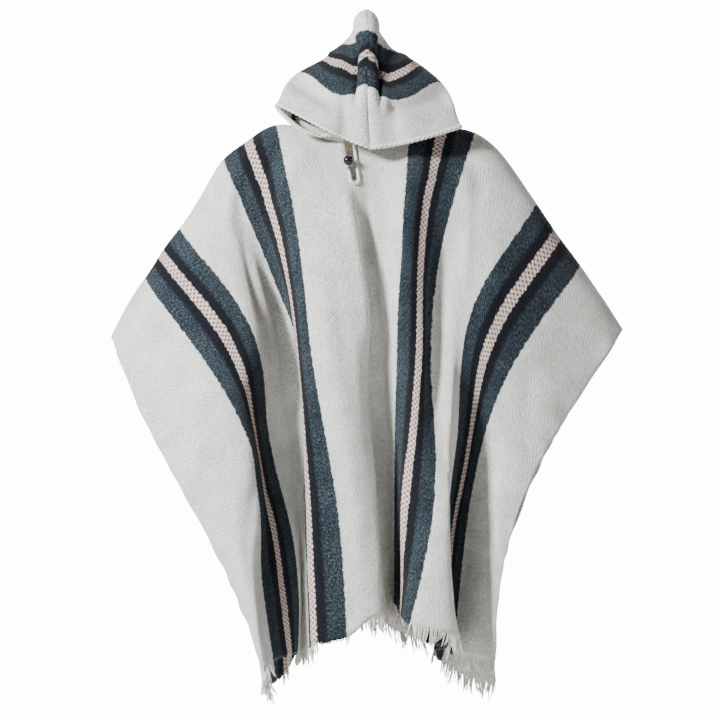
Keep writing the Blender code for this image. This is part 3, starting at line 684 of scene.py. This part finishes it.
def neck_edge(turn, grow):
    """Points and outward normals round the neck opening, an ellipse in the cloth widened by
    grow. Turn is 0 at the front and a half turn at the nape, positive to the viewer's left."""
    cut = NECK_CENTRE - (NECK_HALF + grow) * np.sin(turn)
    at_front = np.cos(turn) > 0
    points, outward = np.zeros((len(turn), 3)), np.zeros((len(turn), 3))
    for lines, length, depth, mask, facing in (
            (FRONT_LINES, FRONT_LENGTH, NECK_FRONT, at_front, -1),
            (BACK_LINES, BACK_LENGTH, NECK_BACK, ~at_front, 1)):
        down = (depth + grow) * np.abs(np.cos(turn[mask]))
        points[mask], outward[mask] = cloth_point(lines, length, facing, cut[mask], down)
    return points, outward


def hood_points(ribs, along, deep, side):
    """Panel points: splines of the ribs in both directions, blended near the neck into a collar
    that stands on the edge of the neck opening along the body's normals."""
    places = np.array([row[0] for row in ribs]) / 1000
    knots = np.array([row[1:] for row in ribs]) / 1000
    points = np.einsum(
        "ia,abk,jb->ijk", spline_weights(places, along), knots, spline_weights(HOOD_DEPTHS, deep))
    slit = SLIT_LEFT if side > 0 else SLIT_RIGHT
    start = np.arcsin(side * (NECK_CENTRE - slit) / NECK_HALF)
    edge, outward = neck_edge(side * (start + (np.pi - start) * deep / HOOD_DEEP), WOOL)
    collar = edge[None] + (WOOL / 2 + COLLAR_GAP + HOOD_RIM - along)[:, None, None] * outward[None]
    share = np.clip((along - (HOOD_RIM - HOOD_COLLAR)) / HOOD_COLLAR, 0, 1)
    blend = (share ** 2 * (3 - 2 * share))[:, None, None]
    return points * (1 - blend) + collar * blend


def pleat_height(along, deep):
    """The pinched pleat beside the top seam: a round-topped ridge with a groove at its foot and
    a nick on the seam, which fades out towards the rim and thins at the tip."""
    grows = np.clip((deep - 0.060) / 0.060, 0, 1)[None, :]
    grows = grows ** 2 * (3 - 2 * grows) * np.interp(deep, [0.180, 0.235], [1.0, 0.40])[None, :]
    a = along[:, None]
    ridge = np.clip(1 - (a / PLEAT_HALF) ** 2, 0, None) ** 0.5
    groove = np.exp(-((a - PLEAT_FOOT) / FOOT_GROOVE) ** 2)
    nick = np.exp(-(a / SEAM_NICK) ** 2)
    return grows * (PLEAT_RISE * ridge - FOOT_GROOVE * groove) - SEAM_NICK * nick * (deep[None, :] > 0.01)


HOOD_CREASES = (
    # distance along the rim and depth from it at both ends; half width; rise, in mm
    (40, 92, 170, 64, 24, -13.0),
    (11, -30, 12, 120, 15, 6.0),
    (50, -10, 58, 100, 20, -7.0),
    (60, 10, 75, 90, 14, 2.4),
    (120, 20, 95, 110, 16, -2.4),
    (170, 30, 190, 170, 14, 2.6),
    (230, 60, 210, 190, 15, -2.6),
    (285, 30, 270, 150, 14, 2.2),
    (110, 150, 140, 240, 14, 2.2),
)


def build_hood_panel(name, ribs, side):
    """One panel, its points moved along their normals by the pleat and the creases."""
    along = np.linspace(0, 1, HOOD_ALONG) ** 1.15 * HOOD_RIM
    deep = np.linspace(0, HOOD_DEEP, HOOD_ACROSS)
    points = hood_points(ribs, along, deep, side)
    outward = grid_normals(points) * -side
    level = np.clip(along / PLEAT_HALF, 0, 1)[:, None, None]
    over_seam = unit(outward[0] * np.array([0.0, 1.0, 1.0]) + 1e-9)[None]
    way = unit(outward * level + over_seam * (1 - level))
    height = pleat_height(along, deep)
    a, d = np.meshgrid(along, deep, indexing="ij")
    for a0, d0, a1, d1, wide, rise in np.array(HOOD_CREASES) / 1000:
        line = np.array([a1 - a0, d1 - d0])
        share = np.clip(((a - a0) * line[0] + (d - d0) * line[1]) / (line ** 2).sum(), 0, 1)
        gap = np.hypot(a - a0 - share * line[0], d - d0 - share * line[1])
        height = height + rise * (1 - (2 * share - 1) ** 4) * np.exp(-(gap / wide) ** 2)
    points = points + way * height[..., None]
    slip = PLEAT_SLIP[side] * np.clip((PLEAT_FOOT - a) / SLIP_EDGE, 0, 1)
    slip = slip * np.interp(d, [0.060, 0.110, 0.200, 0.250], [0.0, 1.0, 1.0, 0.0])
    uv = np.stack([d - slip, a * side], axis=-1)
    faces = grid_faces(HOOD_ALONG, HOOD_ACROSS)
    faces = faces[:, ::-1] if side > 0 else faces
    panel = add_mesh(name, points, faces, uv, hood_wool)
    wall = panel.modifiers.new("wall", "SOLIDIFY")
    wall.thickness = WOOL
    wall.offset = 0.0
    return panel, points


def hood_share(tree, deep, along):
    """Place across the hood's band, which runs along behind the rim."""
    return band_share(tree, deep, HOOD_BAND), deep, along


hood_wool = wool_material("hood_wool", hood_share)
hood_left, left_points = build_hood_panel("hood_cloth_left", LEFT_RIBS, 1)
hood_right, right_points = build_hood_panel("hood_cloth_right", RIGHT_RIBS, -1)
for panel, node in ((hood_left, "hood_left"), (hood_right, "hood_right")):
    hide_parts(node)
    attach(panel, "root")

# Rim of the hood. The cut edge is turned in and whipped over with thick cream yarn, stitch beside
# stitch, so that it reads as a soft slanted cord along the face opening.
RIM_RADIUS = 0.0044
RIM_PITCH = 0.0085
STRANDS = 2
YARN_LIGHT = (0.760, 0.748, 0.690)
YARN_SHADE = (0.560, 0.545, 0.480)


def even_path(points, step):
    """Points at equal steps along a polyline."""
    run = np.concatenate([[0], np.cumsum(np.linalg.norm(np.diff(points, axis=0), axis=1))])
    at = np.linspace(0, run[-1], int(run[-1] / step) + 1)
    return np.stack([np.interp(at, run, points[:, k]) for k in range(3)], axis=1), at


def cord_points(path, at, radius, sides, pitch, relief):
    """A laid cord along a path: a ring at each point, its radius rising and falling with the
    angle plus the run divided by the pitch, which winds the strands round it."""
    way = unit(np.gradient(path, axis=0))
    side = np.zeros_like(way)
    side[0] = unit(np.cross(way[0], [0.31, 0.93, 0.17]))
    for i in range(1, len(way)):
        side[i] = unit(side[i - 1] - way[i] * (side[i - 1] @ way[i]))
    other = np.cross(way, side)
    angle = np.linspace(0, 2 * np.pi, sides, endpoint=False)[None, :]
    wound = np.abs(np.cos(STRANDS * angle / 2 + np.pi * at[:, None] / pitch))
    size = radius * (1 - relief + relief * wound ** 0.7)
    ends = np.minimum(at, at[-1] - at) / radius
    size = size * np.sqrt(np.clip(1 - (1 - np.clip(ends, 0.0, 1)) ** 2, 0.02, 1))[:, None]
    ring = np.cos(angle)[..., None] * side[:, None] + np.sin(angle)[..., None] * other[:, None]
    return path[:, None] + size[..., None] * ring


def ring_faces(rings, sides):
    """Quads of a tube of rings, closed round."""
    number = np.arange(rings * sides).reshape(rings, sides)
    after = np.roll(number, -1, axis=1)
    return np.stack([number[:-1], after[:-1], after[1:], number[1:]], axis=-1).reshape(-1, 4)


def yarn_material(name, light, shade):
    """Twisted wool yarn: a fine and a broad noise on Object coordinates."""
    material = bpy.data.materials.new(name)
    material.use_nodes = True
    tree = material.node_tree
    shader = tree.nodes["Principled BSDF"]
    place = tree.nodes.new("ShaderNodeTexCoord")
    fine = noise_node(tree, place.outputs["Object"], 700.0, 3.0, 0.6)
    broad = noise_node(tree, place.outputs["Object"], 90.0, 2.0)
    mixed = sum_node(tree, "MULTIPLY_ADD", fine, 0.7, sum_node(tree, "MULTIPLY", broad, 0.5))
    colour = blend_node(tree, step_node(tree, mixed, 0.35, 0.85), light, shade)
    tree.links.new(colour, shader.inputs["Base Color"])
    bump = tree.nodes.new("ShaderNodeBump")
    bump.inputs["Strength"].default_value = 0.5
    bump.inputs["Distance"].default_value = 0.0008
    tree.links.new(fine, bump.inputs["Height"])
    tree.links.new(bump.outputs["Normal"], shader.inputs["Normal"])
    shader.inputs["Roughness"].default_value = 0.9
    shader.inputs["Specular IOR Level"].default_value = 0.25
    shader.inputs["Sheen Weight"].default_value = 0.25
    shader.inputs["Sheen Roughness"].default_value = 0.5
    return material


def add_cord(name, path, radius, pitch, relief, step=0.0009, sides=12):
    """A laid cord of edging yarn as a finished piece that rides on the poncho."""
    points, at = even_path(path, step)
    rings = cord_points(points, at, radius, sides, pitch, relief)
    piece = add_mesh(name, rings, ring_faces(len(at), sides), None, edging_wool)
    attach(piece, "root")
    return piece


edging_wool = yarn_material("edging_yarn", YARN_LIGHT, YARN_SHADE)
rim_path = np.concatenate([left_points[::-1, 0], right_points[1:, 0]])
add_cord("hood_rim_whipping", rim_path[4:-4], RIM_RADIUS, RIM_PITCH, 0.40)

# Seams of the hood. Back-stitches of cream yarn run down the back seam, and a row of whip
# stitches on each side holds the hood to the neck opening.
NECK_STITCH = 0.0016
NECK_STITCH_PITCH = 0.0052
NECK_STITCH_STAND = 0.0012
NAPE_GAP = 0.02
SLIT_GAP = 0.13
BACK_STITCH = 0.0012
BACK_STITCH_PITCH = 0.0045
BACK_STITCH_OUT = np.array([0.0, 0.0022, 0.0003])

neck_turn = np.linspace(-np.pi + NAPE_GAP, np.pi - NAPE_GAP, 400)
neck_turn = neck_turn[np.abs(neck_turn) > SLIT_GAP]
for name, way in (("neck_seam_right", -1), ("neck_seam_left", 1)):
    seam, seam_out = neck_edge(neck_turn[neck_turn * way > 0], WOOL)
    seam = seam + seam_out * (WOOL / 2 + NECK_STITCH_STAND)
    add_cord(name, seam, NECK_STITCH, NECK_STITCH_PITCH, 0.4)
add_cord("back_seam", left_points[6:-12, -1] + BACK_STITCH_OUT, BACK_STITCH, BACK_STITCH_PITCH, 0.45)

# Fringe. The warp ends hang from both hems in small pointed locks of wool yarn: long in the
# cream, shorter in the pink, and cut almost to the cloth in the slate and the dark.
YARN_PITCH = 0.0016
YARN_RADIUS = 0.00085
LOCK_WIDE = 0.0085
CREAM_LOCK = 0.034
PINK_LOCK = 0.028
DARK_LOCK = 0.007
YARN_RINGS = 7
YARN_SIDES = 4
MARGIN_FREE = 0.002
FRINGE_YARN = ((0.78, 0.765, 0.70), (0.60, 0.58, 0.51))
PINK_STREAK = (0.42, 0.31, 0.27)


def fringe_colour(cut):
    """Length and colour number of the yarn at each cut: 0 cream, 1 pink, 2 slate, 3 dark."""
    kind = np.zeros(cut.shape, int)
    for low, high in (INNER_BAND, OUTER_BAND):
        share = (np.abs(cut) - low) / (high - low)
        for part, number in (((0, 1), 2), (DARK_PART, 3), (PINK_PART, 1)):
            kind[(share > part[0]) & (share < part[1])] = number
    return kind, np.choose(kind, [CREAM_LOCK, PINK_LOCK, DARK_LOCK, DARK_LOCK])


def build_fringe(name, lines, length, facing, seed, thin):
    """Yarns in locks. A yarn's middle line goes from its root to a tip that is drawn towards the
    tip of its lock, with a slight bow, and its radius shrinks to nothing at the tip."""
    random = np.random.default_rng(seed)
    count = int(2 * (HALF_WIDTH - MARGIN_FREE) / YARN_PITCH)
    cut = np.linspace(-HALF_WIDTH + MARGIN_FREE, HALF_WIDTH - MARGIN_FREE, count)
    cut = cut + random.uniform(-0.0006, 0.0006, count)
    lock = np.floor(cut / LOCK_WIDE + 0.35 * np.sin(cut * 37)).astype(int)
    lock -= lock.min()
    kind, reach = fringe_colour(cut)
    lock_share = random.uniform(0.72, 1.12, lock.max() + 1)[lock]
    trimmed = np.interp(cut, thin[0], thin[1])
    reach = reach * lock_share * random.uniform(0.8, 1.05, count) * trimmed
    hem = np.full(count, length)
    root, outward = cloth_point(lines, length, facing, cut, hem - 0.0015)
    above, _ = cloth_point(lines, length, facing, cut, hem - 0.020)
    signed = -facing * (hem - 0.001)
    height = crease_height(cut, signed) + ripple_height(cut, signed)
    root = root + outward * height[:, None]
    fall = unit(unit(root - above - outward * height[:, None]) + np.array([0.0, 0.0, -0.5]))
    lean = random.normal(0, 0.22, (lock.max() + 1, 3))[lock] * np.array([1.0, 0.7, 0.2])
    centre = np.stack([np.bincount(lock, root[:, k]) / np.bincount(lock) for k in range(3)], axis=1)
    drawn = 0.80 * np.clip(reach / CREAM_LOCK, 0, 1)[:, None]
    tip = root + (centre[lock] - root) * drawn + unit(fall + lean) * reach[:, None]
    bow = random.normal(0, 0.0016, (count, 3)) * (reach / CREAM_LOCK)[:, None]
    t = np.linspace(0, 1, YARN_RINGS)[None, :, None]
    line = root[:, None] * (1 - t) + tip[:, None] * t + bow[:, None] * np.sin(np.pi * t)
    line = line + (fall * reach[:, None] * 0.12)[:, None] * np.sin(np.pi * t)
    across = unit(np.cross(fall, outward))
    angle = np.linspace(0, 2 * np.pi, YARN_SIDES, endpoint=False) + np.pi / 4
    size = YARN_RADIUS * (1.25 - 0.25 * t) * np.sqrt(np.clip(1 - t ** 3, 0.004, 1))
    cosine, sine = np.cos(angle)[None, :, None], np.sin(angle)[None, :, None]
    ring = cosine * across[:, None] + sine * outward[:, None]
    points = line[:, :, None] + size[..., None] * ring[:, None]
    first = (np.arange(count) * YARN_RINGS * YARN_SIDES)[:, None, None]
    faces = (ring_faces(YARN_RINGS, YARN_SIDES)[None] + first).reshape(-1, 4)
    uv = np.zeros(points.shape[:-1] + (2,))
    uv[..., 0] = ((kind + 0.5) / 4)[:, None, None]
    uv[..., 1] = reach[:, None, None] * t
    fringe = add_mesh(name, points, faces, uv, fringe_wool)
    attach(fringe, "root")
    return fringe


def fringe_material():
    """Yarn whose colour is read from the first UV number in four steps, with soft streaks."""
    material = yarn_material("fringe_yarn", CREAM, CREAM_SHADE)
    tree = material.node_tree
    shader = tree.nodes["Principled BSDF"]
    uv = tree.nodes.new("ShaderNodeUVMap")
    uv.uv_map = "cloth"
    split = tree.nodes.new("ShaderNodeSeparateXYZ")
    tree.links.new(uv.outputs["UV"], split.inputs["Vector"])
    place = tree.nodes.new("ShaderNodeTexCoord")
    streak = noise_node(tree, place.outputs["Object"], 320.0, 2.0)
    kinds = []
    for light, shade in (
            FRINGE_YARN, (PINK_YARN, PINK_STREAK), (SLATE_LIGHT, SLATE_DEEP), (DARK_YARN, DARK_FLECK)):
        kinds.append(blend_node(tree, step_node(tree, streak, 0.35, 0.7), light, shade))
    colour = kinds[0]
    for number, other in enumerate(kinds[1:], 1):
        is_further = sum_node(tree, "GREATER_THAN", split.outputs["X"], number / 4)
        colour = blend_node(tree, is_further, colour, other)
    tree.links.new(colour, shader.inputs["Base Color"])
    return material


fringe_wool = fringe_material()
# Cuts along the hem, and the share of its length that the fringe keeps there
ALL_FULL = ((-0.622, 0.622), (1.0, 1.0))
FRONT_WORN = ((-0.622, -0.108, -0.100, -0.062, -0.05, 0.622), (1.0, 1.0, 0.12, 0.12, 1.0, 1.0))
fringe_front = build_fringe("fringe_front_yarns", FRONT_LINES, FRONT_LENGTH, -1, 11, FRONT_WORN)
fringe_back = build_fringe("fringe_back_yarns", BACK_LINES, BACK_LENGTH, 1, 12, ALL_FULL)
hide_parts("fringe_front")
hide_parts("fringe_back")

# Closure. A cord of cream yarn edges the slit, a loop of the same yarn comes from its right side,
# and a black ball button on its left side is fastened in the loop.
EDGING_RADIUS = 0.0029
EDGING_PITCH = 0.0056
EDGING_STAND = 0.0017
EDGING_START = 0.008
LOOP_RADIUS = 0.0009
LOOP_PITCH = 0.003
LOOP_INSET = 0.0022
SEAM_GAP = 0.0005
BUTTON_RADIUS = 0.0088
BUTTON_CUT = -0.0045
BUTTON_DOWN = 0.101
BUTTON_CLEAR = 0.012
BALL_RINGS = 36
BALL_SIDES = 40
SHANK_LENGTH = 0.0036
SHANK_RADIUS = 0.0015
BUTTON_BLACK = (0.006, 0.006, 0.008)
BUTTON_WORN = (0.016, 0.015, 0.018)


def front_point(cut, down, stand):
    """Points that stand off the outer face of the front, and the outward normals there."""
    here, outward = cloth_point(FRONT_LINES, FRONT_LENGTH, -1, cut, down)
    height = crease_height(cut, down) + ripple_height(cut, down)
    return here + (height + WOOL / 2 + stand)[:, None] * outward, outward


slit_middle = (SLIT_LEFT + SLIT_RIGHT) / 2
slit_half = (SLIT_RIGHT - SLIT_LEFT) / 2 + EDGING_STAND
bottom_turn = np.linspace(0, np.pi, 24)
left_down = np.linspace(BUTTON_DOWN + BUTTON_CLEAR, SLIT_BOTTOM, 12)[:-1]
right_down = np.linspace(SLIT_BOTTOM, NECK_FRONT + EDGING_START, 40)[1:]
edging_cut = np.concatenate([
    np.full(len(left_down), slit_middle - slit_half),
    slit_middle - slit_half * np.cos(bottom_turn),
    np.full(len(right_down), slit_middle + slit_half)])
edging_down = np.concatenate([left_down, SLIT_BOTTOM + slit_half * np.sin(bottom_turn), right_down])
edging_path, _ = front_point(edging_cut, edging_down, EDGING_STAND)
slit_edging = add_cord("slit_edging_cord", edging_path, EDGING_RADIUS, EDGING_PITCH, 0.3, 0.0006, 14)
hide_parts("slit_edging")

loop_ring = SHANK_RADIUS + SEAM_GAP + LOOP_RADIUS
loop_end = slit_middle + slit_half - LOOP_INSET
loop_turn = np.linspace(0, np.pi, 16)
loop_legs = np.linspace(loop_end, BUTTON_CUT, 10)[:-1]
loop_leg = np.ones(len(loop_legs))
loop_cut = np.concatenate([loop_legs, BUTTON_CUT - loop_ring * np.sin(loop_turn), loop_legs[::-1]])
loop_down = BUTTON_DOWN + loop_ring * np.concatenate([-loop_leg, -np.cos(loop_turn), loop_leg])
loop_path, _ = front_point(loop_cut, loop_down, LOOP_RADIUS + SEAM_GAP)
button_loop = add_cord("button_loop_cord", loop_path, LOOP_RADIUS, LOOP_PITCH, 0.35, 0.0004, 8)
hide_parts("button_loop")


def ball_points(seat, axis, height, radius):
    """A ball turned on a lathe: rings of radius r sin(polar) at heights r (1 - cos(polar)), above
    a short shank, with a fine groove round its middle."""
    polar = np.linspace(0.17, np.pi - 0.004, BALL_RINGS)
    groove = 1 - 0.012 * np.exp(-((polar - np.pi / 2) / 0.03) ** 2)
    radii = np.concatenate([[0.0014, SHANK_RADIUS], radius * np.sin(polar) * groove])
    heights = np.concatenate([[0.0, height * 0.8], height + radius * (1 - np.cos(polar))])
    first = unit(np.cross(axis, [0.0, 0.0, 1.0]))
    second = np.cross(axis, first)
    angle = np.linspace(0, 2 * np.pi, BALL_SIDES, endpoint=False)
    ring = np.cos(angle)[:, None] * first + np.sin(angle)[:, None] * second
    return seat + heights[:, None, None] * axis + radii[:, None, None] * ring[None]


gloss = bpy.data.materials.new("button_gloss")
gloss.use_nodes = True
gloss_tree = gloss.node_tree
gloss_shader = gloss_tree.nodes["Principled BSDF"]
gloss_place = gloss_tree.nodes.new("ShaderNodeTexCoord")
gloss_noise = noise_node(gloss_tree, gloss_place.outputs["Object"], 420.0, 3.0)
gloss_colour = blend_node(gloss_tree, gloss_noise, BUTTON_BLACK, BUTTON_WORN)
gloss_tree.links.new(gloss_colour, gloss_shader.inputs["Base Color"])
gloss_rough = sum_node(gloss_tree, "MULTIPLY_ADD", gloss_noise, 0.14, 0.05)
gloss_tree.links.new(gloss_rough, gloss_shader.inputs["Roughness"])
gloss_shader.inputs["Specular IOR Level"].default_value = 0.3
gloss_shader.inputs["Coat Weight"].default_value = 0.1
gloss_shader.inputs["Coat Roughness"].default_value = 0.05
button_seat, button_out = front_point(np.array([BUTTON_CUT]), np.array([BUTTON_DOWN]), SEAM_GAP)
button_ball = add_mesh(
    "button_ball", ball_points(button_seat[0], button_out[0], SHANK_LENGTH, BUTTON_RADIUS),
    ring_faces(BALL_RINGS + 2, BALL_SIDES), None, gloss)
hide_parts("button")
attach(button_ball, "root")
